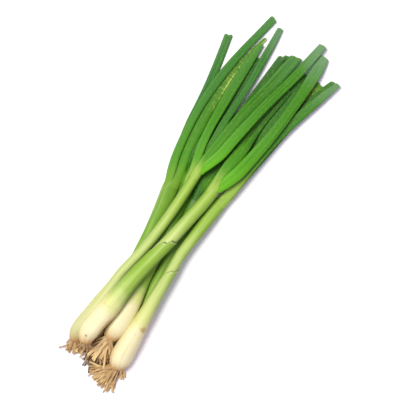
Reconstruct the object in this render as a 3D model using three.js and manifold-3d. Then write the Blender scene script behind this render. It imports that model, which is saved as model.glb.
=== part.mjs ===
// A bunch of six spring onions lying on its side: round-based white bulbs with
// tufts of roots, pale green stalks and flattened hollow leaves with cut ends.
// The frame is in millimetres: +X runs from the roots to the leaf ends, +Z is up.
import * as THREE from "three";
import { mergeVertices } from "three/addons/utils/BufferGeometryUtils.js";
import Module from "manifold-3d";

const wasm = await Module();
wasm.setup();

// The traced lines are in points of a plan view, across and down. One point is 0.9 mm.
const POINT = 0.9;
const PLAN_ANGLE = THREE.MathUtils.degToRad(56);

// Stalks and bulbs
const STALK_SIDES = 12;
const STALK_FLATNESS = 0.94;
const STALK_RING_GAP = 14;
const BULB_LENGTH = 34;
const BULB_RING_GAP = 4.5;
const MOUTH_DEPTH = 12;
const SHEATH_WALL = 0.75;

// Leaves
const LEAF_SIDES = 8;
const LEAF_RING_GAP = 17;
const LEAF_FLATNESS = 0.34;
const LEAF_CREASE = 0.45;
const FOOT_DEPTH = 9;
const FOOT_GROWTH = 9;

// Roots
const PLATE_THICKNESS = 2.2;
const ROOT_SIDES = 3;
const ROOT_RINGS = 5;
const ROOT_RADIUS = 0.75;
const ROOT_DETAIL = 0.05;
const TUFT_DEPTH = 3.5;

// Room left between two pieces, and how far ahead each kind of piece bends to clear what it lies on
const CLEARANCE = 0.45;
const SEAT = 0.9;
const PILE_CELL = 0.5;
const STALK_REACH = 22;
const LEAF_REACH = 14;

// Each onion in the order in which it is laid on the pile, with its leaves, unless these go on last
// of all. A line is [across, down, width] from the root end on. Leaves go from the lowest up.
// Roots fan out between two angles from the stalk's own line, closer to the first with more lean.
const ONIONS = [
  {
    name: "onion_6",
    stalk: [
      [143.5, 313, 7], [145.5, 308.5, 9.8], [148.5, 302, 10.5], [152.5, 292, 10], [157, 280.5, 10],
      [161, 272.5, 10], [165.3, 264.5, 10], [171, 253.5, 10.2], [177.5, 241, 10.5], [184, 229, 11],
      [190, 216.5, 11.4], [194.5, 205.5, 11.6], [198.5, 195, 11.4],
    ],
    leaves: [
      {
        line: [
          [198.5, 195, 9], [201.5, 184, 9], [205.5, 172, 9], [213, 157.5, 8.5], [225, 140, 8], [240, 120, 8],
          [256, 99.5, 8], [272, 78, 8], [288.5, 56, 7.5],
        ],
        lift: 0, skew: 0.2,
      },
      {
        line: [
          [198.5, 195, 9], [203.5, 184, 9.5], [211, 172.5, 10.5], [220.5, 161, 10.5], [231, 148.5, 10],
          [243, 136.5, 9], [255, 124.5, 9], [267, 112, 9], [279, 99, 8.5], [290, 86, 8],
        ],
        lift: 0, skew: 0,
      },
    ],
    roots: { count: 6, fan: [-30, 30], lean: 1, lengths: [5, 9], drop: 0.9 },
  },
  {
    name: "onion_5",
    stalk: [
      [97, 338, 9], [99.5, 329, 11.5], [104, 318, 11.5], [111, 303.5, 10.5], [119, 289, 10.5],
      [127, 275, 10.8], [134.5, 261, 11], [142, 246.5, 11], [149.5, 231.5, 11], [156.2, 216, 11],
      [162.2, 201, 11.2], [168.2, 186, 11.6],
    ],
    leaves: [
      {
        line: [
          [168.2, 186, 8], [173, 165, 8], [180.5, 145, 8], [190, 122, 8], [201, 101, 8],
          [210, 82, 8.5], [219, 60, 8.8], [229, 34, 8.4],
        ],
        lift: 0, skew: 0.1,
      },
      {
        line: [
          [168.2, 186, 9], [172.6, 177.5, 11], [177, 169.5, 12], [183.5, 156, 12], [190.5, 141, 12.2],
          [198, 126, 12.4], [205, 112, 11.5], [214.5, 97, 9.5], [226.5, 79, 5.6], [238, 66, 3.6],
          [251, 52, 3.6], [266, 38, 3],
        ],
        lift: 2, skew: 0,
      },
      {
        line: [
          [168.2, 186, 9], [171, 171, 8.6], [175.2, 156.9, 8.2], [180.3, 144.7, 8], [186.3, 131.5, 8],
          [192.5, 119.5, 8.2], [201, 104, 8.4], [210.5, 90, 8.4], [222, 74.5, 8.4], [235, 59, 8],
          [248, 45, 7.8], [261, 32, 7.8], [274.5, 18, 7.5],
        ],
        lift: 2, skew: -0.25,
      },
    ],
    roots: { count: 13, fan: [-16, 26], lean: 1, lengths: [17, 30], drop: 0.75 },
  },
  {
    name: "onion_3",
    stalk: [
      [109.5, 340, 11], [113.3, 331.3, 17.6], [118.2, 321.8, 18.4], [124.8, 310.4, 16.6], [131.5, 299, 13.5],
      [137.5, 288.5, 12], [143.5, 278, 11.5], [152, 264, 11], [160.5, 249.5, 11], [168, 234, 11],
      [174, 218, 11], [179.5, 203.5, 11.4], [184, 191, 11.6], [188, 180, 11],
    ],
    leaves: [
      {
        line: [
          [188, 180, 8], [190, 170, 9.5], [194.5, 158, 9.8], [202, 146, 9.4], [211, 132, 8.8],
          [220, 119, 8.5], [229, 106, 8.5],
          [239, 92, 8.5], [248, 75.5, 8.5], [257.5, 57, 6.5],
        ],
        lift: 0, skew: 0.3,
      },
      {
        line: [
          [188, 180, 8], [198, 168, 8.5], [210, 152, 8.5], [222.5, 134.5, 8.5], [234, 119.5, 8],
          [244, 106.5, 8], [256, 91, 8.3], [269, 74.5, 8.3], [282.5, 56.5, 7.5],
        ],
        lift: 2, skew: 0.2,
      },
      {
        line: [
          [188, 180, 9], [196, 168, 8.8], [205, 155, 8.6], [212.5, 145, 8.5], [217.5, 135, 8.4],
          [224.5, 122.5, 8.2], [233, 109.5, 8], [240.5, 98.5, 8], [248, 88, 8], [256.5, 73, 8.4],
          [264.3, 58.5, 8.6], [271, 47, 7.8], [276.5, 37.5, 6.8], [281, 28, 6.2],
        ],
        lift: 2, skew: 0,
      },
    ],
    roots: { count: 12, fan: [-46, 4], lean: 1, lengths: [17, 28], drop: 0.5 },
  },
  {
    name: "onion_4",
    stalk: [
      [117, 370, 12], [120, 360.5, 20.5], [124, 352, 21], [129, 343, 20], [136, 330.5, 16.5],
      [143.5, 318, 14], [152, 303, 12.8], [159, 291, 11.4], [166, 279.5, 11.2], [173, 267.5, 11.4],
      [181.7, 253, 11.6], [190.5, 241.6, 11.6], [202, 227.3, 12], [213, 213.5, 12], [222, 203, 11],
    ],
    leaves: [
      {
        line: [
          [222, 203, 9], [234, 188, 8.5], [246, 174, 8.5], [257, 161, 8.5], [268, 147.5, 8.5],
          [279, 133.5, 8.5], [290.5, 120.5, 8.5], [301, 108.5, 8.5], [311, 96.5, 8.5], [320.5, 84, 8],
        ],
        lift: 0, skew: -0.2,
      },
      {
        line: [
          [222, 203, 8], [234, 190, 8], [246, 176.5, 8], [258, 163, 8], [270, 149, 8],
          [282, 135, 8], [294, 121.5, 8], [306, 108.5, 8], [318, 96, 7], [333.5, 81.5, 4],
        ],
        lift: 0.5, skew: 0,
      },
      {
        line: [
          [222, 203, 10], [231.5, 192, 9.5], [241.5, 179, 9.5], [252.2, 166.2, 9.5], [262.6, 154.2, 9.5],
          [273.7, 141.7, 9.5], [285.5, 129.8, 9.5], [297, 119, 9.5], [307.6, 109.6, 9.5], [318, 100.2, 9.5],
          [327, 92, 9.5], [337, 83.5, 9],
        ],
        lift: 1.5, skew: 0.25,
      },
    ],
    roots: { count: 18, fan: [-64, 58], lean: 1.7, lengths: [15, 29], drop: 0.6 },
  },
  {
    name: "onion_1",
    leavesLast: true,
    stalk: [
      [74.5, 341, 10], [78, 331, 17], [85, 321, 15.5], [95, 309.5, 13], [104, 297.5, 11],
      [113, 284.5, 10.2], [123, 270.5, 10], [135, 258.5, 10], [146, 246.5, 10.2], [156.5, 233.2, 10.6],
      [166.3, 220, 10.8], [176.5, 205.5, 10.8], [184.5, 193, 10.8], [191, 183, 10.6], [197, 173.5, 10.4],
    ],
    leaves: [
      {
        line: [
          [197, 173.5, 8], [195.8, 165, 8.8], [197.8, 155, 9.4], [203.2, 141, 8.8],
          [210.8, 125.8, 8.8], [217, 115, 9.2],
          [225.5, 100, 10.2], [235, 84, 10.2], [243.5, 70.5, 9.6], [253, 56.5, 7.8], [261, 44, 6],
        ],
        lift: 1.5, skew: 0.3,
      },
      {
        line: [
          [197, 173.5, 9], [201.3, 165.5, 8.8], [207, 157.5, 8.8], [216, 146.5, 9], [225, 135.7, 10],
          [234, 125, 11], [248.2, 109.5, 12.4], [263.5, 94, 13.4], [279, 78, 13.4], [288, 67, 13],
          [297, 57, 12],
        ],
        lift: 2, skew: 0.35,
      },
      {
        line: [
          [197, 173.5, 8], [202.6, 168.6, 9], [210.5, 164, 10.6], [219, 157, 10.6], [228, 146.4, 10.8],
          [239, 134, 10.6], [253.2, 118.5, 10], [264.6, 106.6, 9.8], [275, 96.5, 9.4], [284.3, 87.8, 9],
          [290, 82, 9.4], [297, 75, 9.6], [304, 68, 9.8], [311, 60, 9.8], [317.5, 52.5, 9.4],
          [323.5, 45.5, 8.6],
        ],
        lift: 2.5, skew: 0.15,
      },
    ],
    roots: { count: 11, fan: [-52, 26], lean: 1, lengths: [9, 16], drop: 0.8 },
  },
  {
    name: "onion_2",
    stalk: [
      [86, 342, 11], [89.5, 331, 18], [95.8, 322.5, 17.6], [103.5, 312.5, 17], [112.5, 302, 16.5],
      [122.7, 290.4, 16.2], [135, 276, 15], [147.2, 263.5, 14.2], [160.3, 249.8, 13.6], [171, 239, 13.4],
      [180, 229, 13.4], [189, 218.8, 13.4], [198, 209.3, 13.4], [206, 200, 13.2], [214, 190, 12.4],
    ],
    leaves: [
      {
        line: [
          [214, 190, 8], [223, 178, 8.5], [233, 168, 9.5], [243.5, 157.5, 10.5], [253.5, 146.5, 11],
          [262.5, 135, 11.5], [271.5, 123, 12], [280.5, 111.5, 12], [288.5, 101, 12], [295.5, 91.5, 11.5],
          [301.5, 83, 10.5], [307, 75, 9],
        ],
        lift: 0, skew: 0,
      },
      {
        line: [
          [214, 190, 8], [218.5, 177.5, 7.5], [226, 167, 7.2], [235, 158, 7], [243.5, 147, 7],
          [251, 136.5, 7], [259, 125.5, 7], [267, 115.5, 7], [274, 107.5, 7], [281, 99.5, 6.5],
          [289, 90, 6],
        ],
        lift: 1, skew: 0,
      },
      {
        line: [
          [214, 190, 9], [218.7, 186.8, 10], [225, 183.8, 12.4], [233, 178, 13], [242.2, 169.3, 13],
          [250.5, 160, 12.8], [258.7, 151, 12.8], [267, 141, 12.8], [276.5, 129.5, 12.8], [286.7, 115.5, 13],
          [294.7, 104.5, 12.6], [302.7, 93, 12.4], [310, 81.7, 12.4], [315.8, 72.5, 12.2],
          [320.6, 64, 11.2], [324.2, 56.5, 9.5],
        ],
        lift: 2, skew: -0.1,
      },
    ],
    roots: { count: 11, fan: [-32, 32], lean: 1, lengths: [10, 17], drop: 0.85 },
  },
];

// Colours of the three growths
const STALK_GREEN = "#b9cf78";
const LEAF_GREEN = "#4f8f35";
const ROOT_TAN = "#bd9158";

// A fixed row of numbers between 0 and 1, the same on every run
function drawer(seed) {
  let state = seed;
  return () => {
    state = (state * 1664525 + 1013904223) >>> 0;
    return state / 4294967296;
  };
}

const mix = THREE.MathUtils.lerp;
const ease = THREE.MathUtils.smoothstep;

// A point of the plan view in the frame's X and Y
function inFrame(across, down) {
  return [
    POINT * (across * Math.cos(PLAN_ANGLE) - down * Math.sin(PLAN_ANGLE)),
    POINT * (-across * Math.sin(PLAN_ANGLE) - down * Math.cos(PLAN_ANGLE)),
  ];
}

// How high the pile stands over each small square of the surface
const pile = new Map();
const cellOf = (x, y) => Math.round(x / PILE_CELL) * 4096 + Math.round(y / PILE_CELL);

function pileTop(x, y) {
  let top = 0;
  for (let i = -1; i <= 1; i++) {
    for (let j = -1; j <= 1; j++) {
      top = Math.max(top, pile.get(cellOf(x + i * PILE_CELL, y + j * PILE_CELL)) ?? 0);
    }
  }
  return top;
}

// A line as places 1 mm apart: x, y, half width and direction, with the height still to come
function placesOf(line) {
  const curve = new THREE.CatmullRomCurve3(
    line.map(([across, down, width]) => {
      const [x, y] = inFrame(across, down);
      return new THREE.Vector3(x, y, (width * POINT) / 2);
    }),
    false,
    "centripetal",
  );
  const count = Math.round(curve.getLength());
  return curve.getSpacedPoints(count).map((p, i) => {
    const t = curve.getTangentAt(i / count);
    const flat = Math.hypot(t.x, t.y);
    return { x: p.x, y: p.y, z: 0, half: p.z, dx: t.x / flat, dy: t.y / flat, thick: p.z };
  });
}

// The least height of the centre at a place so that the underside clears the pile, or sits
// a little flattened on the surface
function heightNeeded(place, lift) {
  let need = place.thick * SEAT + lift;
  for (let t = -0.95; t <= 0.96; t += 0.095) {
    const x = place.x + place.dy * place.half * t;
    const y = place.y - place.dx * place.half * t;
    const top = pileTop(x, y);
    if (top > 0) {
      need = Math.max(need, top + CLEARANCE + place.thick * Math.sqrt(1 - t * t));
    }
  }
  return need;
}

// Bends ahead of what it has to clear: the highest need within reach, then its running mean.
// The reach is short at the root end, where the bulb sits by its own weight, and at a limp far end.
function bendOver(needs, reach, limp) {
  const fromEnd = (i) => (limp ? needs.length - 1 - i : reach / 0.35);
  const near = (i) => Math.round(Math.min(reach, 6 + i * 0.35, 4 + fromEnd(i) * 0.35));
  const around = (list, i, span) => list.slice(Math.max(0, i - span), i + span + 1);
  const highest = needs.map((_, i) => Math.max(...around(needs, i, Math.ceil(near(i) * 1.6))));
  return highest.map((_, i) => {
    const part = around(highest, i, near(i));
    return part.reduce((sum, v) => sum + v, 0) / part.length;
  });
}

// Adds a laid line to the pile
function heapUp(places) {
  for (let d = 0; d <= places.length - 1; d += PILE_CELL) {
    const place = placeAt(places, d);
    for (let t = -1; t <= 1; t += 0.04) {
      const cell = cellOf(place.x + place.dy * place.half * t, place.y - place.dx * place.half * t);
      const top = place.z + place.thick * Math.sqrt(1 - t * t);
      pile.set(cell, Math.max(top, pile.get(cell) ?? 0));
    }
  }
}

// A place between two of the list, at a distance along it
function placeAt(places, distance) {
  const d = THREE.MathUtils.clamp(distance, 0, places.length - 1);
  const i = Math.min(Math.floor(d), places.length - 2);
  const a = places[i];
  const b = places[i + 1];
  const out = {};
  for (const key of Object.keys(a)) {
    out[key] = mix(a[key], b[key], d - i);
  }
  const beyond = distance - d;
  out.x += out.dx * beyond;
  out.y += out.dy * beyond;
  out.rise = b.z - a.z;
  return out;
}

// A solid from a closed geometry
function solidOf(geometry) {
  geometry.deleteAttribute("normal");
  geometry.deleteAttribute("uv");
  const merged = mergeVertices(geometry, 1e-4);
  const corners = [];
  for (let i = 0; i < merged.index.count; i += 3) {
    const [a, b, c] = [0, 1, 2].map((k) => merged.index.getX(i + k));
    if (a !== b && b !== c && c !== a) {
      corners.push(a, b, c);
    }
  }
  return new wasm.Manifold(
    new wasm.Mesh({
      numProp: 3,
      vertProperties: merged.attributes.position.array,
      triVerts: new Uint32Array(corners),
    }),
  );
}

// Turns a profile about the line itself: y of the profile is the distance along the line,
// x the radius. The first corner is at the given turn from the top, and the section is shaped
// by the given function of side and up offsets.
function turnedAlong(places, profile, sides, turn, shape) {
  const geometry = new THREE.LatheGeometry(profile, sides, turn);
  const position = geometry.attributes.position;
  for (let i = 0; i < position.count; i++) {
    const distance = position.getY(i);
    const place = placeAt(places, distance);
    const [side, up, on] = shape(position.getX(i), position.getZ(i), place, distance);
    const slope = Math.hypot(1, place.rise);
    position.setXYZ(
      i,
      place.x + place.dy * side + place.dx * (on - (up * place.rise) / slope),
      place.y - place.dx * side + place.dy * (on - (up * place.rise) / slope),
      Math.max(0, place.z + up / slope + on * place.rise),
    );
  }
  return solidOf(geometry);
}

// Distances of the rings: close together over the first stretch, wider apart after it
function ringsFrom(start, end, closeLength, closeGap, wideGap) {
  const rings = [];
  const closeEnd = start + closeLength;
  for (let d = start; d < closeEnd - closeGap / 2; d += closeGap) {
    rings.push(d);
  }
  const wide = Math.max(1, Math.round((end - closeEnd) / wideGap));
  for (let k = 0; k <= wide; k++) {
    rings.push(mix(closeEnd, end, k / wide));
  }
  return rings;
}

// The bulb and its stalk, one growth, open at the top where the leaves come out. The flats of
// its section are at the traced width, and one of them is its underside.
function stalkSolid(places) {
  const length = places.length - 1;
  const rings = ringsFrom(0, length, BULB_LENGTH, BULB_RING_GAP, STALK_RING_GAP);
  const corner = 1 / Math.cos(Math.PI / STALK_SIDES);
  const outline = rings.map((d) => new THREE.Vector2(placeAt(places, d).half * corner, d));
  const rim = placeAt(places, length).half - SHEATH_WALL;
  const floor = length - MOUTH_DEPTH;
  const inner = Math.min(rim, placeAt(places, floor).half - SHEATH_WALL);
  const profile = [
    new THREE.Vector2(0, 0),
    ...outline,
    new THREE.Vector2(rim, length),
    new THREE.Vector2(inner, floor),
    new THREE.Vector2(0, floor),
  ];
  const shape = (side, up) => [side, up * STALK_FLATNESS, 0];
  return turnedAlong(places, profile, STALK_SIDES, Math.PI / STALK_SIDES, shape);
}

// One leaf: a narrow foot in the stalk's mouth, then a flattened tube, creased along the middle of
// its upper side, with a cut end
function leafSolid(places, skew) {
  const length = places.length - 1;
  const rings = ringsFrom(0, length, FOOT_DEPTH + FOOT_GROWTH, 6, LEAF_RING_GAP);
  const profile = [
    new THREE.Vector2(0, 0),
    ...rings.map((d) => new THREE.Vector2(placeAt(places, d).half, d)),
    new THREE.Vector2(0, length),
  ];
  return turnedAlong(places, profile, LEAF_SIDES, 0, (side, up, place, distance) => {
    const across = side / place.half;
    const open = ease(distance, FOOT_DEPTH + 2.5, FOOT_DEPTH + FOOT_GROWTH);
    const crease = 1 - LEAF_CREASE * open * Math.max(0, 0.5 - Math.abs(across)) * 2 * (up > 0 ? 1 : 0);
    const cut = skew * side * ease(distance, length - 20, length);
    return [side, (up / place.half) * place.thick * crease, cut];
  });
}

// The root plate and its roots, fused. Each root leaves the plate, spreads and sinks to what it lies on.
function rootSolid(stalk, roots, random) {
  const first = stalk[0];
  const plateRadius = first.half * 0.72;
  const plate = turnedAlong(
    stalk,
    [
      new THREE.Vector2(0, -CLEARANCE - PLATE_THICKNESS),
      new THREE.Vector2(plateRadius * 0.55, -CLEARANCE - PLATE_THICKNESS),
      new THREE.Vector2(plateRadius, -CLEARANCE - PLATE_THICKNESS * 0.4),
      new THREE.Vector2(plateRadius, -CLEARANCE),
      new THREE.Vector2(0, -CLEARANCE),
    ],
    8,
    0,
    (side, up) => [side, up, 0],
  );
  let body = plate;
  const laid = [];
  for (let k = 0; k < roots.count; k++) {
    const spread = ((k + random()) / roots.count) ** roots.lean;
    const turn = THREE.MathUtils.degToRad(mix(roots.fan[0], roots.fan[1], spread));
    const length = mix(roots.lengths[0], roots.lengths[1], random()) * POINT;
    const around = random() * 2 * Math.PI;
    const out = Math.sqrt(random()) * plateRadius * 0.7;
    const side = Math.cos(around) * out * 0.6 + Math.sin(turn) * plateRadius * 0.5;
    const curl = (random() - 0.5) * 0.9;
    const layer = random() * TUFT_DEPTH;
    const start = -CLEARANCE - PLATE_THICKNESS * 0.5;
    const steps = Math.round(length);
    const places = [];
    let x = first.x + first.dx * start + first.dy * side;
    let y = first.y + first.dy * start - first.dx * side;
    for (let i = 0; i <= steps; i++) {
      const share = i / steps;
      const heading = turn + curl * share;
      const dx = -first.dx * Math.cos(heading) + first.dy * Math.sin(heading);
      const dy = -first.dy * Math.cos(heading) - first.dx * Math.sin(heading);
      const hang = first.z + Math.sin(around) * out * 0.9;
      const rest = ROOT_RADIUS * 1.1 + layer * (1 - share * 0.7);
      const low = mix(hang, rest, ease(share, 0, roots.drop));
      const place = { x, y, z: low, half: ROOT_RADIUS, dx, dy, thick: ROOT_RADIUS };
      if (i > 2) {
        place.z = Math.max(low, heightNeeded(place, 0));
      }
      places.push(place);
      x += (dx * length) / steps;
      y += (dy * length) / steps;
    }
    const line = new THREE.CatmullRomCurve3(places.map((p) => new THREE.Vector3(p.x, p.y, p.z)));
    const strand = new THREE.ExtrudeGeometry(
      new THREE.Shape(
        Array.from({ length: ROOT_SIDES }, (_, i) => {
          const angle = (i / ROOT_SIDES) * 2 * Math.PI;
          return new THREE.Vector2(Math.cos(angle) * ROOT_RADIUS, Math.sin(angle) * ROOT_RADIUS);
        }),
      ),
      { steps: ROOT_RINGS, extrudePath: line, bevelEnabled: false },
    );
    body = body.add(solidOf(strand));
    laid.push(places);
  }
  laid.forEach(heapUp);
  return body.simplify(ROOT_DETAIL);
}

// Where the feet of three leaves, or two, sit in a stalk's mouth: shares of its inner radius
const FEET = {
  2: [{ height: -0.42, half: 0.7, thick: 0.34 }, { height: 0.42, half: 0.7, thick: 0.34 }],
  3: [
    { height: -0.64, half: 0.5, thick: 0.25 },
    { height: 0, half: 0.85, thick: 0.25 },
    { height: 0.64, half: 0.5, thick: 0.25 },
  ],
};

// The places of a leaf, from its foot in the mouth to its cut end, laid on the pile
function layLeaf(leaf, foot, stalk) {
  const mouth = stalk[stalk.length - 1];
  const room = mouth.half - SHEATH_WALL - CLEARANCE;
  const behind = [];
  for (let d = FOOT_DEPTH; d >= 1; d--) {
    behind.push({ ...placeAt(stalk, stalk.length - 1 - d) });
  }
  const places = [...behind, ...placesOf(leaf.line)];
  const footHeight = foot.height * room;
  places.forEach((place, i) => {
    const grown = ease(i, FOOT_DEPTH + 2.5, FOOT_DEPTH + FOOT_GROWTH);
    place.half = mix(foot.half * room, place.half, grown);
    place.thick = mix(foot.thick * room, place.half * LEAF_FLATNESS, grown);
  });
  const free = FOOT_DEPTH + 3;
  const anchor = (i) => (i < FOOT_DEPTH ? places[i].z : mouth.z) + footHeight;
  const needs = places.map((place, i) => (i < free ? anchor(i) : heightNeeded(place, leaf.lift)));
  const bent = bendOver(needs, LEAF_REACH, true);
  places.forEach((place, i) => {
    const loose = ease(i, free, free + 24);
    place.z = i < free ? anchor(i) : Math.max(needs[i], mix(anchor(i), bent[i], loose));
    delete place.rise;
  });
  return places;
}

const bunch = new THREE.Group();
bunch.name = "spring_onion_bunch";

function addMesh(name, body, colour, roughness) {
  const bodies = body.decompose().sort((a, b) => b.volume() - a.volume());
  const mesh = bodies[0].getMesh();
  const geometry = new THREE.BufferGeometry();
  geometry.setAttribute("position", new THREE.BufferAttribute(mesh.vertProperties, 3));
  geometry.setIndex(new THREE.BufferAttribute(mesh.triVerts, 1));
  geometry.computeVertexNormals();
  const material = new THREE.MeshStandardMaterial({ color: colour, roughness, metalness: 0 });
  const made = new THREE.Mesh(geometry, material);
  made.name = name;
  bunch.add(made);
}

function layLeaves(onion, stalk) {
  onion.leaves.forEach((leaf, i) => {
    const places = layLeaf(leaf, FEET[onion.leaves.length][i], stalk);
    heapUp(places.slice(FOOT_DEPTH));
    addMesh(`${onion.name}_leaf_${i + 1}`, leafSolid(places, leaf.skew), LEAF_GREEN, 0.5);
  });
}

const waiting = [];
ONIONS.forEach((onion, number) => {
  const random = drawer(113 + number * 17);
  const stalk = placesOf(onion.stalk);
  stalk.forEach((place) => {
    place.thick = place.half * STALK_FLATNESS;
  });
  bendOver(stalk.map((place) => heightNeeded(place, 0)), STALK_REACH, false).forEach((z, i) => {
    stalk[i].z = z;
  });
  addMesh(`${onion.name}_stalk`, stalkSolid(stalk), STALK_GREEN, 0.45);
  const roots = rootSolid(stalk, onion.roots, random);
  heapUp(stalk);
  addMesh(`${onion.name}_roots`, roots, ROOT_TAN, 0.85);
  if (onion.leavesLast) {
    waiting.push(() => layLeaves(onion, stalk));
  } else {
    layLeaves(onion, stalk);
  }
});
waiting.forEach((lay) => lay());

// The origin is under the middle of the bunch, on the surface it lies on
const bounds = new THREE.Box3().setFromObject(bunch);
const middle = bounds.getCenter(new THREE.Vector3());
for (const mesh of bunch.children) {
  mesh.geometry.translate(-middle.x, -middle.y, -bounds.min.z);
}

export default bunch;
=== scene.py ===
import math

import bpy
import numpy as np
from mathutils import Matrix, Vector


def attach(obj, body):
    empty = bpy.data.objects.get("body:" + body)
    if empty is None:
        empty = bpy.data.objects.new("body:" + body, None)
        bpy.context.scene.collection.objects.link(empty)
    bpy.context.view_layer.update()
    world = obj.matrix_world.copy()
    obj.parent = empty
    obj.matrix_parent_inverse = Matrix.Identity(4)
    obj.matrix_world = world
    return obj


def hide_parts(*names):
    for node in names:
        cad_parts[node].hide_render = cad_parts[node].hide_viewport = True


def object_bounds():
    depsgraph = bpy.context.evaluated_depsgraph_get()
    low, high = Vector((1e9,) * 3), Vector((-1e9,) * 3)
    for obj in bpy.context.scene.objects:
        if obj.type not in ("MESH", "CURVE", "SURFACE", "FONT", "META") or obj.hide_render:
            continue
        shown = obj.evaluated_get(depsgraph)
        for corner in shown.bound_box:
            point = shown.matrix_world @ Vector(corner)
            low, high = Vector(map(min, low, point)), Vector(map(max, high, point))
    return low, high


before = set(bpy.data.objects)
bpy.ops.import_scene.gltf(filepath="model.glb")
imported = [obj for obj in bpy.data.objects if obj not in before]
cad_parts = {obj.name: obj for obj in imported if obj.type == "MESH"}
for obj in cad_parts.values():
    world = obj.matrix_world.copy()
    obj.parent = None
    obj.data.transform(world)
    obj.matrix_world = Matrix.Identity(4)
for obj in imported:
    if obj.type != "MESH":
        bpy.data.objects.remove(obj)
cad_low, cad_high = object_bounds()

# The bulbs and stalks
# Each is one growth of wet, tightly wrapped sheaths: a white bulb on a small root plate, going over
# to a pale green stalk. On two of them the outer sheath ends part of the way up, at a torn edge.
#
# Distances are metres from the root plate. "course" is the colour by distance: 0 cream, 1 primrose,
# 2 light green, 3 green, 4 dark green, 5 a deeper green, painted shade for what lies in the shade.
# "inner" is the course of what the outer sheath leaves bare. "sheath" is where its edge is, how far
# that slopes across the stalk and is swept back on the left, and how torn it is. "fuller" swells a
# side (1 right, -1 left) by an amount, at a place, over a spread. "dull" yellows a bulb,
# "green_side" greens and darkens a stalk's right side, away from the lamp, partly as
# painted shade, and "foot" is where the visible growth starts.
STALKS = {
    "onion_1": {
        "course": [(0.0, 0.1), (0.030, 0.5), (0.060, 1.4), (0.100, 2.1), (0.150, 2.6), (0.190, 2.9)],
        "fuller": [(-1, 0.0018, 0.042, 0.018)],
        "dull": 0.70,
        "green_side": 1.0,
    },
    "onion_2": {
        "course": [(0.0, 0.0), (0.030, 0.1), (0.044, 1.0), (0.060, 2.5), (0.085, 3.0), (0.118, 3.1)],
        "inner": [(0.105, 1.9), (0.125, 2.1), (0.150, 2.6), (0.185, 2.75)],
        "sheath": {"at": 0.117, "slope": 0.0045, "swept": 0.012, "torn": 1.0},
        "fuller": [(1, 0.0022, 0.038, 0.016)],
        "green_side": 0.4,
    },
    "onion_3": {
        # Its upper end is darkened to stage 4 as painted shade.
        "course": [(0.0, 0.0), (0.036, 0.2), (0.047, 1.4), (0.058, 2.7), (0.080, 3.3), (0.130, 4.0)],
        "fuller": [(1, 0.0018, 0.018, 0.016), (1, 0.0036, 0.042, 0.026), (1, 0.0025, 0.150, 0.025)],
    },
    "onion_4": {
        "course": [(0.0, 0.0), (0.040, 0.2), (0.056, 1.2), (0.080, 1.8), (0.102, 2.5)],
        "inner": [(0.095, 1.9), (0.130, 2.3), (0.150, 2.9), (0.190, 3.1)],
        "sheath": {"at": 0.101, "slope": 0.0055, "swept": 0.004, "torn": 0.5},
        "fuller": [(-1, 0.0025, 0.172, 0.025)],
        "green_side": 0.5,
    },
    "onion_5": {
        "course": [(0.0, 0.0), (0.040, 0.8), (0.070, 3.0), (0.100, 3.5), (0.150, 3.6)],
        "fuller": [(1, 0.0046, 0.144, 0.028)],
    },
    "onion_6": {
        # Its upper end goes past stage 4, painted shade where it lies under the others.
        "course": [(0.0, 2.6), (0.018, 3.0), (0.040, 3.4), (0.090, 3.7), (0.118, 4.8)],
        "fuller": [
            (-1, 0.0022, 0.0, 0.030),
            (1, 0.0020, 0.0, 0.030),
            (-1, 0.0025, 0.105, 0.030),
            (1, 0.0040, 0.092, 0.030),
        ],
        "foot": -0.011,
    },
}
STATION = 0.0012
FOOT_DEPTH = 0.0028
CUT_CLEARANCE = 0.0002
STALK_END_DEPTH = 0.005
STALK_SOFTENING = 2.5
STALK_TURNS = 64
RING_SPACING = 0.0013
FOOT_HEIGHT = 0.006
FOOT_ROUNDING = 0.003
MOUTH_ROUNDING = 0.003
EDGE_SPACING = 0.00025
EDGE_BELOW = 0.020
EDGE_ABOVE = 0.010
SHEATH_THICKNESS = 0.0006
RAG_COUNT = 20
RAG_SIZE = 0.0013
STALK_GRAIN = 0.006
DULL_REACH = 0.090
TAN_REACH = 0.008


def soften(values, spread):
    """A row of numbers without its small steps; spread is in stations."""
    pad = int(3 * spread) + 1
    before = 2 * values[0] - values[pad:0:-1]
    after = 2 * values[-1] - values[-2 : -pad - 2 : -1]
    weights = np.exp(-0.5 * (np.arange(-pad, pad + 1) / spread) ** 2)
    return np.convolve(np.concatenate([before, values, after]), weights / weights.sum(), "valid")


def eased(values, start, end):
    """0 up to start, 1 from end on, smooth between."""
    share = np.clip((values - start) / (end - start), 0, 1)
    return share * share * (3 - 2 * share)


def bell(values, middle, spread):
    """1 at the middle, going smoothly to 0 on both sides."""
    return np.exp(-(((values - middle) / spread) ** 2))


def rings(stops, turns):
    """Distance and angle of the points of rings round a growth, one row to a ring."""
    angle = np.linspace(0, 2 * math.pi, turns, endpoint=False)
    return np.meshgrid(stops, angle, indexing="ij")


class Path:
    """The middle line of a growth with its half width and half height, by distance along it."""

    def __init__(self, centre, half, tall):
        self.centre, self.half, self.tall = centre, half, tall
        steps = np.linalg.norm(np.diff(centre, axis=0), axis=1)
        self.distance = np.concatenate([[0.0], np.cumsum(steps)])
        self.length = self.distance[-1]
        along = np.gradient(centre, axis=0)
        self.along = along / np.linalg.norm(along, axis=1)[:, None]

    def read(self, values, d):
        inside = np.clip(d, 0, self.length)
        if values.ndim == 1:
            return np.interp(inside, self.distance, values)
        return np.stack([np.interp(inside, self.distance, v) for v in values.T], axis=-1)

    def place(self, d, side, up):
        """Points at a distance along the line, offset to its side and upwards."""
        along = self.read(self.along, d)
        along /= np.linalg.norm(along, axis=-1)[..., None]
        flat = np.hypot(along[..., 0], along[..., 1])
        across = np.stack([along[..., 1] / flat, -along[..., 0] / flat, 0 * flat], axis=-1)
        above = np.cross(across, along)
        beyond = (d - np.clip(d, 0, self.length))[..., None] * along
        return self.read(self.centre, d) + beyond + side[..., None] * across + up[..., None] * above


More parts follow.
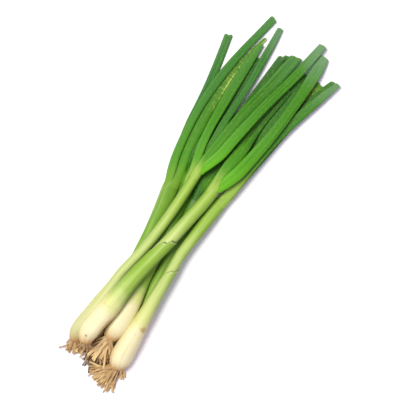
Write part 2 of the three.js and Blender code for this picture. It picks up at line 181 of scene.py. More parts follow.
def traced(node, end_reach, spread):
    """The path of a long CAD node: its cuts across X, with the middles of its two end faces."""
    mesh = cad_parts[node].data
    points = np.array([v.co for v in mesh.vertices])
    ends = np.array([e.vertices for e in mesh.edges])
    first, second = points[ends[:, 0]], points[ends[:, 1]]
    low_face = points[points[:, 0] < points[:, 0].min() + FOOT_DEPTH]
    high_face = points[points[:, 0] > points[:, 0].max() - end_reach]
    rows = []
    begin, end = low_face[:, 0].max() + CUT_CLEARANCE, high_face[:, 0].min() - CUT_CLEARANCE
    for x in np.arange(begin, end, STATION):
        hit = (first[:, 0] - x) * (second[:, 0] - x) < 0
        a, b = first[hit], second[hit]
        cut = a + ((x - a[:, 0]) / (b[:, 0] - a[:, 0]))[:, None] * (b - a)
        least, most = cut.min(axis=0), cut.max(axis=0)
        middle, size = (least + most) / 2, (most - least) / 2
        rows.append([x, middle[1], middle[2], size[1], size[2]])
    rows = np.array(rows)
    lean = np.gradient(rows[:, 1], rows[:, 0])
    rows[:, 3] *= np.cos(np.arctan(lean))
    near_ends = ((low_face, lean[3:15].mean(), True), (high_face, lean[-15:-3].mean(), False))
    for face, slope, front in near_ends:
        middle = (face.min(axis=0) + face.max(axis=0)) / 2
        across = np.array([-slope, 1.0]) / math.hypot(slope, 1)
        half = np.abs((face[:, :2] - middle[:2]) @ across).max()
        row = [[*middle, half, np.ptp(face[:, 2]) / 2]]
        rows = np.vstack([row, rows]) if front else np.vstack([rows, row])
    x = np.linspace(rows[0, 0], rows[-1, 0], int((rows[-1, 0] - rows[0, 0]) / STATION))
    y, z, half, tall = [soften(np.interp(x, rows[:, 0], v), spread) for v in rows[:, 1:].T]
    return Path(np.stack([x, y, z], axis=1), half, tall)


def filled_out(side, across, d, changes):
    """Sideways offsets made fuller: each change is a side, an amount, and where and how far it reaches."""
    for sign, amount, where, spread in changes:
        side = side + sign * amount * bell(d, where, spread) * np.clip(sign * across, 0, 1)
    return side


def made_mesh(name, points, faces, node, material, values):
    """A smooth mesh object inside the CAD box, which rides on the bunch in a CAD node's place."""
    mesh = bpy.data.meshes.new(name)
    mesh.from_pydata(np.clip(points, cad_low, cad_high).tolist(), [], faces)
    mesh.shade_smooth()
    for key, value in values.items():
        vector = value.ndim == 2
        made = mesh.attributes.new(key, "FLOAT_VECTOR" if vector else "FLOAT", "POINT")
        made.data.foreach_set("vector" if vector else "value", value.astype(np.float32).ravel())
    piece = bpy.data.objects.new(name, mesh)
    bpy.context.scene.collection.objects.link(piece)
    piece.data.materials.append(material)
    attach(piece, "root")
    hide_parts(node)


def skin(name, path, d, side, up, node, material, values):
    """A closed skin of rings round a path. Its values are kept as attributes of its points."""
    count, turns = d.shape
    points = path.place(d, side, up).reshape(-1, 3)
    quads = []
    for i in range(count - 1):
        for j in range(turns):
            k = (j + 1) % turns
            quads.append((i * turns + j, i * turns + k, (i + 1) * turns + k, (i + 1) * turns + j))
    for end in (0, count - 1):
        ring = range(end * turns, (end + 1) * turns)
        points = np.vstack([points, points[ring].mean(axis=0)])
        hub = len(points) - 1
        for j in range(turns):
            pair = (end * turns + j, end * turns + (j + 1) % turns)
            quads.append((hub, pair[1], pair[0]) if end == 0 else (hub, pair[0], pair[1]))
    kept = {}
    for key, value in values.items():
        vector = np.ndim(value) == 3
        flat = value.reshape(-1, 3) if vector else np.broadcast_to(value, d.shape).reshape(-1)
        kept[key] = np.concatenate([flat, flat[:1], flat[-1:]])
    made_mesh(name, points, quads, node, material, kept)


def tone(red, green, blue):
    """A colour as seen, 0 to 255, in the light's own scale."""
    seen = np.array([red, green, blue]) / 255
    return (*np.where(seen < 0.04045, seen / 12.92, ((seen + 0.055) / 1.055) ** 2.4), 1.0)


class Wire:
    """What runs between two nodes of a material, with the usual signs for arithmetic."""

    def __init__(self, sheet, socket):
        self.sheet, self.socket = sheet, socket

    def __add__(self, other):
        return self.sheet.maths("ADD", self, other)

    def __sub__(self, other):
        return self.sheet.maths("SUBTRACT", self, other)

    def __rsub__(self, other):
        return self.sheet.maths("SUBTRACT", other, self)

    def __mul__(self, other):
        return self.sheet.maths("MULTIPLY", self, other)

    __radd__ = __add__
    __rmul__ = __mul__


class Sheet:
    """A material's nodes."""

    def __init__(self, name, roughness, gloss=0.5, subsurface=0.0, radius=(0.002, 0.002, 0.001)):
        self.material = bpy.data.materials.new(name)
        self.material.use_nodes = True
        self.tree = self.material.node_tree
        self.surface = self.tree.nodes["Principled BSDF"]
        self.surface.inputs["Roughness"].default_value = roughness
        self.surface.inputs["Specular IOR Level"].default_value = gloss
        self.surface.inputs["Subsurface Weight"].default_value = subsurface
        self.surface.inputs["Subsurface Radius"].default_value = radius
        self.surface.inputs["Subsurface Scale"].default_value = 1.0

    def node(self, kind, settings=None, values=None, output=0):
        made = self.tree.nodes.new(kind)
        for key, value in (settings or {}).items():
            setattr(made, key, value)
        for key, value in (values or {}).items():
            if isinstance(value, Wire):
                self.tree.links.new(value.socket, made.inputs[key])
            else:
                made.inputs[key].default_value = value
        return Wire(self, made.outputs[output])

    def maths(self, operation, *values):
        return self.node("ShaderNodeMath", {"operation": operation}, dict(enumerate(values)))

    def read(self, name):
        return self.node("ShaderNodeAttribute", {"attribute_name": name}, output="Fac")

    def noise(self, scale, detail=2.0, roughness=0.5):
        """Noise in a piece's own coordinates: along it, across it and up."""
        grain = self.node("ShaderNodeAttribute", {"attribute_name": "grain"}, output="Vector")
        scaled = self.node("ShaderNodeVectorMath", {"operation": "MULTIPLY"}, {0: grain, 1: scale})
        values = {"Vector": scaled, "Scale": 1.0, "Detail": detail, "Roughness": roughness}
        return self.node("ShaderNodeTexNoise", values=values)

    def ramp(self, value, start, end):
        """0 below start, 1 above end, smooth between."""
        values = {"Value": value, "From Min": start, "From Max": end}
        return self.node("ShaderNodeMapRange", {"interpolation_type": "SMOOTHSTEP"}, values)

    def mix(self, share, first, second):
        return self.node("ShaderNodeMix", {"data_type": "RGBA"}, {0: share, 6: first, 7: second}, output=2)

    def course(self, stage, tones):
        """From tone to tone: the first at stage 0, the second at 1, and so on."""
        colour = tones[0]
        for step, reached in enumerate(tones[1:]):
            colour = self.mix(self.ramp(stage, step, step + 1), colour, reached)
        return colour

    def bump(self, height, distance):
        values = {"Height": height, "Distance": distance}
        return self.node("ShaderNodeBump", values=values)

    def feed(self, **wires):
        for key, wire in wires.items():
            self.tree.links.new(wire.socket, self.surface.inputs[key.replace("_", " ")])
        return self.material


# Flesh and green: cream at the bulb, then yellowish, then green, in long soft streaks. The bulb is
# tan towards its root plate, a little browned and specked, and one bulb has a small hole whose shade
# is painted in as a dark spot. Both sides of the bulb are tan and both sides of the stalk darker
# green: painted shade, on the bulb partly the tan of its skin. A sheath's edge is dry and pale, with
# a painted shadow line where it stands over the bare stalk.
CREAM_TO_DEEP_GREEN = [
    tone(236, 229, 180), tone(212, 218, 134), tone(188, 208, 112),
    tone(146, 184, 54), tone(86, 142, 26), tone(44, 98, 22),
]
flesh = Sheet("onion_flesh", 0.40, 0.28, 0.18, (0.004, 0.004, 0.002))
veins = flesh.noise((9, 560, 560), 4.0, 0.65)
threads = flesh.noise((30, 1700, 1700), 2.0)
blotches = flesh.noise((70, 220, 220), 2.0)
specks = flesh.noise((300, 380, 380), 2.0, 0.6)
stage = flesh.read("stage")
streaked = stage + (veins - 0.5) * 0.9 + (blotches - 0.5) * 0.5
colour = flesh.course(streaked, CREAM_TO_DEEP_GREEN)
greenness = flesh.ramp(stage, 0.3, 2.5)
yellow_veins = flesh.ramp(1 - veins, 0.50, 0.70) * (0.26 - 0.26 * greenness)
colour = flesh.mix(yellow_veins, colour, tone(214, 206, 130))
pale_veins = flesh.ramp(veins, 0.52, 0.76) * (0.46 - 0.20 * greenness)
colour = flesh.mix(pale_veins, colour, tone(246, 247, 208))
green_veins = flesh.ramp(1 - veins, 0.52, 0.76) * (0.10 + 0.45 * greenness)
colour = flesh.mix(green_veins, colour, tone(104, 150, 40))
# Painted shade: both sides of a stalk darker green, and both sides of a bulb tan, partly its skin's own
# tan.
flank = flesh.read("flank")
colour = flesh.mix(flank * (0.40 - 0.36 * greenness), colour, tone(202, 178, 102))
colour = flesh.mix(flank * greenness * 0.62, colour, tone(84, 130, 36))
colour = flesh.mix(flesh.read("dull"), colour, tone(184, 190, 130))
speckled = flesh.ramp(specks, 0.62, 0.74) * (0.22 - 0.16 * greenness)
colour = flesh.mix(speckled, colour, tone(190, 154, 86))
root_end = flesh.read("root_end") + (veins - 0.5) * 0.8 + (blotches - 0.5) * 0.4
near_root = flesh.ramp(root_end, 0.15, 0.95)
colour = flesh.mix(near_root * 0.9, colour, tone(184, 136, 74))
browned = flesh.ramp(flesh.read("browning") * (0.7 + 0.6 * blotches), 0.2, 0.9)
colour = flesh.mix(browned * 0.68, colour, tone(180, 140, 72))
colour = flesh.mix(flesh.read("dry_edge") * 0.42, colour, tone(236, 236, 190))
# Painted shadow of the sheath's lifted edge: a dark line on the bare stalk just past it.
colour = flesh.mix(flesh.read("edge_shadow") * 0.90, colour, tone(58, 84, 24))
flesh_material = flesh.feed(
    # Painted shade of a small hole in one bulb.
    Base_Color=flesh.mix(flesh.read("hole_shade"), colour, tone(44, 34, 24)),
    Roughness=0.34 + 0.20 * veins + 0.15 * near_root,
    Normal=flesh.bump(veins + 0.4 * threads + 0.5 * blotches, 0.00018),
)


def sheath_edge(sheath, angle, rng):
    """How far up the stalk the outer sheath ends, all round it."""
    rags = np.append(rng.normal(0, 1, RAG_COUNT), 0) * RAG_SIZE
    rags = np.interp(angle, np.linspace(0, 2 * math.pi, RAG_COUNT + 1), rags)
    edge = sheath["at"] + sheath["slope"] * np.cos(angle) + sheath["torn"] * rags
    return edge - sheath["swept"] * eased(-np.cos(angle), 0.5, 1.0)


def bulb_marks(onion, d, right, above, angle):
    """Where a bulb is browned: at its skins' ends, on a scar and along sides where bulbs touch; and a
    hole's painted shade.
    """
    browning, hole_shade = np.zeros_like(d), np.zeros_like(d)
    if onion == "onion_2":
        skin_end = 0.040 + 0.002 * right - 0.0008 * np.sin(5 * angle)
        # Browner along the right side, where it lies against onion_3's bulb.
        browning = 0.55 * bell(d, skin_end, 0.0009) + bell(d, 0.024, 0.012) * bell(right, 0.98, 0.26)
        # The shade inside a small hole in onion_2's bulb, painted as a dark spot.
        off_centre = ((d - 0.007) / 0.0008) ** 2 + ((right + 0.10) / 0.10) ** 2
        hole_shade = np.exp(-(off_centre**2)) * (above > 0)
    if onion == "onion_3":
        # Browner along the left side, where it lies against onion_2's bulb.
        browning = 0.8 * bell(d, 0.014, 0.009) * bell(right, -0.95, 0.28)
    if onion == "onion_4":
        skin_end = 0.046 - 0.004 * right
        browning = 0.42 * bell(d, skin_end, 0.0009) + bell(d, 0.045, 0.0032) * bell(right, 0.75, 0.35)
        browning = browning * eased(above, -0.1, 0.4)
    return browning, hole_shade


stalk_paths = {}
for number, (onion, form) in enumerate(STALKS.items()):
    rng = np.random.default_rng(number + 11)
    path = traced(f"{onion}_stalk", STALK_END_DEPTH, STALK_SOFTENING)
    stalk_paths[onion] = path
    foot, sheath = form.get("foot", 0.0), form.get("sheath")
    stops = [foot + np.linspace(0, FOOT_HEIGHT, 14)]
    stops.append(np.arange(foot + FOOT_HEIGHT + 0.001, path.length, RING_SPACING))
    if sheath:
        stops.append(np.arange(sheath["at"] - EDGE_BELOW, sheath["at"] + EDGE_ABOVE, EDGE_SPACING))
    stops = np.unique(np.round(np.append(np.concatenate(stops), path.length), 5))
    d, angle = rings(stops, STALK_TURNS)
    right, above = np.cos(angle), np.sin(angle)
    stage = np.interp(d, *np.array(form["course"]).T)
    lift, dry_edge, edge_shadow = np.zeros_like(d), np.zeros_like(d), np.zeros_like(d)
    if sheath:
        edge = sheath_edge(sheath, angle, rng)
        lift = SHEATH_THICKNESS * np.clip((edge - d) / 0.0005 + 0.5, 0, 1)
        dry_edge = bell(d, edge - 0.0009, 0.0005)
        # A painted shadow line just past the sheath's edge.
        edge_shadow = sheath["torn"] * bell(d, edge + 0.0004, 0.0008)
        bare = np.interp(d, *np.array(form["inner"]).T)
        stage = np.where(d > edge, bare, stage)
    if onion == "onion_5":
        dry_edge = 0.4 * bell(right, -0.86, 0.14) * eased(d, 0.112, 0.130)
    # The right side, away from the lamp, greener and darker: partly the stalk's own green, partly painted
    # shade.
    stage = stage + form.get("green_side", 0.0) * np.clip(right, 0, 1) ** 2 * eased(d, 0.035, 0.075)
    wobble = 1 + 0.012 * np.sin(3 * angle + d * 60 + rng.random() * 6) * np.exp(-d / 0.05)
    from_foot = np.clip((d - foot) / FOOT_ROUNDING, 0, 1)
    foot_round = np.sqrt(np.clip(1 - (1 - from_foot) ** 2, 0, 1)) * 0.12 + 0.88
    to_mouth = np.clip((d - path.length + MOUTH_ROUNDING) / MOUTH_ROUNDING, 0, 1)
    scale = wobble * foot_round * (1 - 0.03 * to_mouth**2)
    side = right * (path.read(path.half, d) * scale + lift)
    side = filled_out(side, right, d, form["fuller"])
    up = above * (path.read(path.tall, d) * scale + lift)
    browning, hole_shade = bulb_marks(onion, d, right, above, angle)
    values = {
        "grain": np.stack([d, right * STALK_GRAIN, above * STALK_GRAIN + number], axis=-1),
        "stage": stage,
        # Both sides, for their painted shade.
        "flank": np.abs(right) ** 2.6,
        "browning": browning,
        "dull": form.get("dull", 0.0) * bell(d, 0.0, DULL_REACH),
        "root_end": np.exp(-d / TAN_REACH),
        "dry_edge": dry_edge,
        "edge_shadow": edge_shadow,
        "hole_shade": hole_shade,
    }
    name, node = f"{onion}_bulb_and_stalk", f"{onion}_stalk"
    skin(name, path, d, side, up, node, flesh_material, values)

# The leaves
# Hollow green blades, pressed flat, that grow out of the stalk's mouth and were trimmed at the far
# end. The second of each stalk carries on its full width, and on the two upper onions another one
# breaks out of the stalk's side at a blunt slanting base.
#
# "kind" is how a leaf grows: "heir" carries the stalk on, "collared" has the blunt base and "plain"
# rises from inside the mouth. "start" is its colour at the mouth, in the stalk's stages; from 4 up it
# is painted shade, on the leaves of onion_3 and onion_6, which lie low. "greening" is how fast it
# turns leaf green. "blue" and "haze" tint it. "dark" darkens it, partly its deeper green and partly
# painted shade where it lies low, and "dusk" adds painted shade outwards, where it runs under others.
# "dry_and_light" and "withered" yellow it; on onion_4's leaves, which lie in the shadow of onion_2's
# top leaf, "dry_and_light" is partly painted light. "crease" is the groove along it, and "cut" and
# "notch" shape its trimmed end. "growth" is the distance in which an heir flattens. "fuller" is as
# on the stalks, but its places are from the mouth, and an amount below 0 makes a side narrower.
LEAVES = {
    "onion_1_leaf_1": {
        "kind": "plain", "blue": 0.15, "dark": 0.05, "haze": 0.1, "crease": 0.08, "cut": 0.5,
        "start": 3.4, "greening": 3.0, "fuller": [(-1, 0.0040, -0.008, 0.012)],
    },
    "onion_1_leaf_2": {
        "kind": "heir", "blue": 0.15, "dark": 0.25, "haze": 0.25, "crease": 0.25, "cut": 0.35,
        "notch": 0.1, "start": 2.9, "greening": 2.4, "growth": 0.013,
    },
    "onion_1_leaf_3": {
        "kind": "collared", "blue": 0.1, "dark": 0.0, "haze": 0.9, "crease": 0.03, "cut": 0.1,
    },
    "onion_2_leaf_1": {
        "kind": "plain", "blue": 0.3, "dark": 0.3, "haze": 0.0, "crease": 0.2, "cut": 0.0,
        "greening": 2.5, "fuller": [(-1, 0.002, 0.06, 0.06), (1, 0.002, 0.06, 0.06)],
    },
    "onion_2_leaf_2": {
        # Its far part runs under others: "dusk" paints shade on it there.
        "kind": "heir", "blue": 0.1, "dark": 0.15, "haze": 0.0, "crease": 0.15, "cut": 0.0,
        "start": 2.75, "greening": 1.8, "growth": 0.013, "dusk": 0.6,
        "fuller": [(1, 0.0030, 0.036, 0.024), (1, 0.0010, 0.090, 0.040), (-1, 0.0020, 0.060, 0.040)],
    },
    "onion_2_leaf_3": {
        "kind": "collared", "blue": 0.05, "dark": 0.0, "haze": 0.9, "crease": 0.02, "cut": -0.1,
        "fuller": [(-1, -0.0014, 0.095, 0.030), (1, -0.0010, 0.095, 0.035), (1, 0.0010, 0.150, 0.025)],
    },
    # The leaves of onion_3 lie low: their dark start and "dark" are painted shade, partly a deeper green.
    "onion_3_leaf_1": {
        "kind": "plain", "blue": 0.5, "dark": 0.8, "haze": 0.0, "crease": 0.2, "cut": 0.3,
        "start": 4.0, "greening": 8.0, "fuller": [(-1, 0.0015, 0.03, 0.04), (1, 0.0015, 0.03, 0.04)],
    },
    "onion_3_leaf_2": {
        "kind": "heir", "blue": 0.2, "dark": 0.75, "haze": 0.1, "crease": 0.15, "cut": 0.2,
        "start": 4.0, "greening": 6.0, "fuller": [(-1, 0.0034, 0.012, 0.018), (-1, -0.0010, 0.090, 0.050)],
    },
    "onion_3_leaf_3": {
        "kind": "plain", "blue": 0.6, "dark": 0.3, "haze": 0.6, "crease": 0.08, "cut": 0.0,
        "start": 4.0, "greening": 6.0, "fuller": [(1, -0.0009, 0.090, 0.050)],
    },
    # The leaves of onion_4 lie in the shadow of onion_2's top leaf. Their slow greening and their
    # yellowing keep them pale: partly their own paler colour, partly painted light.
    "onion_4_leaf_1": {
        "kind": "plain", "blue": 0.0, "dark": 0.0, "haze": 0.0, "crease": 0.15, "cut": -0.2, "notch": 0.1,
        "greening": 0.6, "dry_and_light": 0.25, "fuller": [(-1, 0.0020, 0.060, 0.060), (1, 0.0030, 0.115, 0.040)],
    },
    "onion_4_leaf_2": {
        "kind": "heir", "blue": 0.4, "dark": 0.45, "haze": 0.1, "crease": 0.15, "cut": 0.6,
        "greening": 0.6, "fuller": [(-1, 0.002, 0.05, 0.06)],
    },
    "onion_4_leaf_3": {
        "kind": "plain", "blue": 0.3, "dark": 0.1, "haze": 0.7, "crease": 0.08, "cut": 0.3,
        "greening": 0.7, "dry_and_light": 0.08, "fuller": [(-1, 0.0015, 0.03, 0.04), (-1, -0.0026, 0.150, 0.022)],
    },
    "onion_5_leaf_1": {
        "kind": "plain", "blue": 0.6, "dark": 0.3, "haze": 0.1, "crease": 0.2, "cut": 0.1, "notch": 0.3,
        "start": 3.6, "greening": 1.5,
    },
    "onion_5_leaf_2": {
        "kind": "heir", "blue": 0.0, "dark": 0.15, "haze": 0.0, "crease": 0.15, "cut": 0.0,
        "start": 3.6, "greening": 1.5, "withered": True,
        "fuller": [
            (1, 0.0046, 0.004, 0.020),
            (1, 0.0010, 0.080, 0.030),
            (1, 0.0018, 0.120, 0.025),
            (-1, 0.0015, 0.115, 0.025),
        ],
    },
    "onion_5_leaf_3": {
        "kind": "plain", "blue": 0.45, "dark": 0.15, "haze": 0.15, "crease": 0.1, "cut": -0.2,
        "notch": 0.1, "start": 3.6, "greening": 1.5,
    },
    # The leaves of onion_6 lie low: their dark start and "dark" are painted shade, partly a deeper green.
    "onion_6_leaf_1": {
        "kind": "plain", "blue": 0.4, "dark": 0.5, "haze": 0.1, "crease": 0.15, "cut": 0.2,
        "start": 4.6, "greening": 4.0,
    },
    "onion_6_leaf_2": {
        "kind": "heir", "blue": 0.2, "dark": 0.45, "haze": 0.0, "crease": 0.15, "cut": 0.0,
        "start": 4.8, "greening": 4.0, "fuller": [(-1, 0.002, 0.04, 0.05), (1, 0.002, 0.04, 0.05)],
    },
}
LEAF_END_DEPTH = 0.0095
LEAF_SOFTENING = 3.0
LEAF_TURNS = 44
LEAF_SPACING = 0.0016
BASE_LENGTH = 0.008
TRIMMED_LENGTH = 0.012
LEAF_WALL = 0.0005
LEAF_HOLLOW = (0.000625, 0.00375, 0.010)
LEAF_FLATNESS = 0.55
LEAF_GRAIN = 0.005
ROOTED = 0.020
HEIR_START = 0.006
HEIR_GROWTH = 0.030
HEIR_FIT = 0.975
COLLAR_PLACE = 0.0045
COLLAR_ROUNDING = 0.0028
COLLAR_SLANT = 0.0042
COLLAR_LENGTH = 0.014
NOTCH_DEPTH = 0.004
OPENING = 0.02
PINCH_LENGTH = 0.02
JAG = 0.00016
CORNER_CUT = 0.0012
NEAR_MOUTH = -4

# Leaf green: pale where it comes out of the stalk, bright, then deeper and bluish towards the end,
# which is greyed by a bloom of wax. Fine ribs run its length, and it is a little speckled. Its edges,
# and leaves that lie low among the others, are darkened as painted shade, and the palest leaves of
# onion_4 are partly painted light.
LIGHT_TO_DEEP_GREEN = [tone(196, 214, 124), tone(156, 190, 76), tone(86, 142, 26), tone(44, 98, 22)]
blade = Sheet("onion_leaf", 0.45, 0.16, 0.08, (0.001, 0.002, 0.0005))
share = blade.read("share")
ribs = blade.noise((8, 640, 640), 4.0, 0.65)
drift = blade.noise((24, 150, 150), 2.0)
speckle = blade.noise((420, 700, 700), 2.0, 0.6)
start = blade.course(blade.read("mouth_stage") - 2.0, LIGHT_TO_DEEP_GREEN)
start = blade.mix(blade.read("bright"), start, tone(98, 176, 20))
out_share = blade.ramp(blade.read("from_mouth") + (ribs - 0.5) * 0.014, 0.0, 0.045)
colour = blade.mix(out_share, start, tone(80, 153, 20))
colour = blade.mix(blade.ramp(share + (drift - 0.5) * 0.4, 0.10, 0.65), colour, tone(61, 127, 17))
colour = blade.mix(blade.read("blue") * blade.ramp(share, 0.05, 0.6), colour, tone(50, 118, 52))
# Painted shade, partly a deeper green: darker where a leaf lies low among the others.
colour = blade.mix(blade.read("dark") * out_share, colour, tone(34, 88, 16))
haze_share = blade.ramp(share + (drift - 0.5) * 0.2, 0.76, 1.0) * blade.read("haze")
colour = blade.mix(haze_share * 0.8, colour, tone(122, 158, 120))
colour = blade.mix(blade.ramp(ribs, 0.52, 0.74) * 0.38, colour, tone(122, 174, 46))
colour = blade.mix(blade.ramp(1 - ribs, 0.52, 0.74) * 0.45, colour, tone(26, 82, 14))
colour = blade.mix(blade.ramp(speckle, 0.50, 0.72) * 0.22, colour, tone(140, 178, 52))
# Painted shade: both edges of a leaf darker.
colour = blade.mix(blade.read("flank") * 0.40, colour, tone(30, 84, 24))
# Yellowing: real dryness, and on onion_4's leaves partly painted light.
dry_and_light_mask = blade.read("dry_and_light") * (0.6 * ribs + 1.4 * blade.ramp(speckle, 0.3, 0.7))
colour = blade.mix(blade.ramp(dry_and_light_mask, 0.0, 1.0), colour, tone(184, 200, 96))
cut_rim = blade.ramp(blade.read("to_cut"), 0.0028, 0.0)
leaf_material = blade.feed(
    Base_Color=blade.mix(cut_rim * (0.15 + 0.4 * drift), colour, tone(104, 146, 76)),
    Roughness=0.38 + 0.16 * ribs + 0.15 * haze_share,
    Normal=blade.bump(ribs + 0.5 * drift, 0.00016),
)


def leaf_path(node, stalk):
    """A leaf's path, taken back down its stalk so that it grows out of it, and where the mouth is."""
    path = traced(node, LEAF_END_DEPTH, LEAF_SOFTENING)
    foot = path.distance[np.argmin(np.abs(path.centre[:, 0] - stalk.centre[-1, 0]))]
    start = stalk.length - foot
    back = np.arange(start - ROOTED, start, STATION)
    sunk = stalk.read(stalk.centre, back)
    offset = path.centre[0] - stalk.read(stalk.centre, np.array([start]))[0]
    sunk = sunk + offset * np.linspace(0.4, 1, len(back))[:, None]
    centre = np.vstack([sunk, path.centre[1:]])
    centre = np.stack([soften(v, 2.0) for v in centre.T], axis=1)
    grown = foot + 0.010
    full, full_tall = [np.interp(grown, path.distance, v) for v in (path.half, path.tall)]
    half = np.where(path.distance < grown, full, path.half)[1:]
    tall = np.where(path.distance < grown, full_tall, path.tall)[1:]
    half = np.append(np.full(len(back), full), half)
    tall = np.append(np.full(len(back), full_tall), tall)
    made = Path(centre, half, tall)
    return made, made.distance[len(back)] + foot


def cross_section(form, path, stalk, mouth, first, d):
    """A leaf's half width, half height and flatness by distance, for the way that it grows."""
    half, tall = path.read(path.half, d), path.read(path.tall, d)
    stalk_half, stalk_tall = stalk.half[NEAR_MOUTH], stalk.tall[NEAR_MOUTH]
    if form["kind"] == "collared":
        blunt = np.sqrt(np.clip(1 - (1 - np.clip((d - first) / COLLAR_ROUNDING, 0, 1)) ** 2, 0, 1))
        half, tall = half * (0.62 + 0.38 * blunt), tall * (0.25 + 0.75 * blunt)
        return half, tall * (1 + 0.5 * np.exp(-(d - first) / 0.012)), LEAF_FLATNESS
    if form["kind"] == "heir":
        grown = eased(d, mouth - 0.002, mouth + form.get("growth", HEIR_GROWTH))
        begin_half, begin_tall = stalk_half * HEIR_FIT, stalk_tall * HEIR_FIT
        flatness = 1 - (1 - LEAF_FLATNESS) * grown
    else:
        grown = eased(d, mouth - ROOTED, mouth + 0.007)
        begin_half, begin_tall = stalk_half * 0.55, stalk_tall * 0.5
        flatness = LEAF_FLATNESS
    return begin_half + (half - begin_half) * grown, begin_tall + (tall - begin_tall) * grown, flatness


def dry_and_light_along(form, d, across, mouth):
    """How dry a leaf is: all over, or in a streak near its right edge that spreads where it is torn.
    Partly painted light on onion_4.
    """
    if not form.get("withered"):
        return np.full_like(d, form.get("dry_and_light", 0.0))
    withered = eased(d, mouth + 0.060, mouth + 0.105)
    torn = eased(d, mouth + 0.090, mouth + 0.110)
    streak = bell(across, 0.84 - 0.1 * torn, 0.10 + 0.12 * torn)
    return withered * (0.18 + (0.36 + 0.26 * torn) * streak)


for number, (node, form) in enumerate(LEAVES.items()):
    rng = np.random.default_rng(number + 41)
    stalk = stalk_paths[node[:7]]
    path, mouth = leaf_path(node, stalk)
    first = {"collared": mouth + COLLAR_PLACE, "heir": mouth - HEIR_START, "plain": 0.0}[form["kind"]]
    trimmed = path.length - TRIMMED_LENGTH
    stops = np.unique(np.concatenate([
        np.linspace(first, first + BASE_LENGTH, 20),
        np.arange(first + BASE_LENGTH, trimmed, LEAF_SPACING),
        np.linspace(trimmed, path.length, 26),
    ]))
    d, angle = rings(stops, LEAF_TURNS)
    half, tall, flatness = cross_section(form, path, stalk, mouth, first, d)
    across = np.sign(np.cos(angle)) * np.abs(np.cos(angle)) ** flatness
    above = np.sign(np.sin(angle)) * np.abs(np.sin(angle)) ** flatness
    out = np.clip((d - mouth) / OPENING, 0, 1)
    sway = 1 + 0.03 * np.sin(d * 70 + rng.random() * 6) * out
    pinch = 1 - 0.30 * np.clip((d - path.length + PINCH_LENGTH) / PINCH_LENGTH, 0, 1) ** 1.5
    dip = form["crease"] * bell(across, 0.0, 0.22) * out * (above > 0)
    side = filled_out(across * half * sway, across, d - mouth, form.get("fuller", []))
    up = above * tall * pinch * (1 - dip)
    jag = np.interp(across, np.linspace(-1, 1, 9), rng.normal(0, JAG, 9))
    dent = form.get("notch", 0.0) * NOTCH_DEPTH * (0.3 - bell(across, 0.0, 0.25))
    trim = form["cut"] * side + dent + jag - CORNER_CUT * np.abs(across) ** 3
    shift = trim * np.clip((d - trimmed) / TRIMMED_LENGTH, 0, 1) ** 2
    if form["kind"] == "collared":
        shift = shift - COLLAR_SLANT * across * (1 - np.clip((d - first) / COLLAR_LENGTH, 0, 1))
    # Where the painted shade along a leaf's edges falls.
    flank = np.abs(across) ** 8
    dry_and_light = dry_and_light_along(form, d, across, mouth)
    end_side = side[-1] - np.sign(side[-1]) * np.minimum(LEAF_WALL, np.abs(side[-1]))
    inner_d = np.stack([d[-1] + shift[-1] - depth for depth in LEAF_HOLLOW])
    inner_side = np.stack([end_side] * len(LEAF_HOLLOW))
    inner_up = np.stack([up[-1] * 0.6] * len(LEAF_HOLLOW))
    d, side, up = np.vstack([d + shift, inner_d]), np.vstack([side, inner_side]), np.vstack([up, inner_up])
    flank, dry_and_light = [np.vstack([v] + [v[-1:]] * len(LEAF_HOLLOW)) for v in (flank, dry_and_light)]
    fine = LEAF_GRAIN / side.max()
    values = {
        "grain": np.stack([d, side * fine, up * fine + number], axis=-1),
        "share": np.clip((d - mouth) / (path.length - mouth), 0, 1),
        "from_mouth": (d - mouth) * form.get("greening", 1.0),
        "to_cut": path.length - d,
        "mouth_stage": form.get("start", 3.1),
        "bright": float(form["kind"] == "collared"),
        "blue": form["blue"],
        "haze": form["haze"],
        # Painted shade, partly a deeper green, growing outwards where "dusk" is set.
        "dark": form["dark"] + form.get("dusk", 0.0) * eased(d, mouth + 0.06, mouth + 0.12),
        "flank": flank,
        "dry_and_light": dry_and_light,
    }
    skin(node.replace("leaf", "blade"), path, d, side, up, node, leaf_material, values)

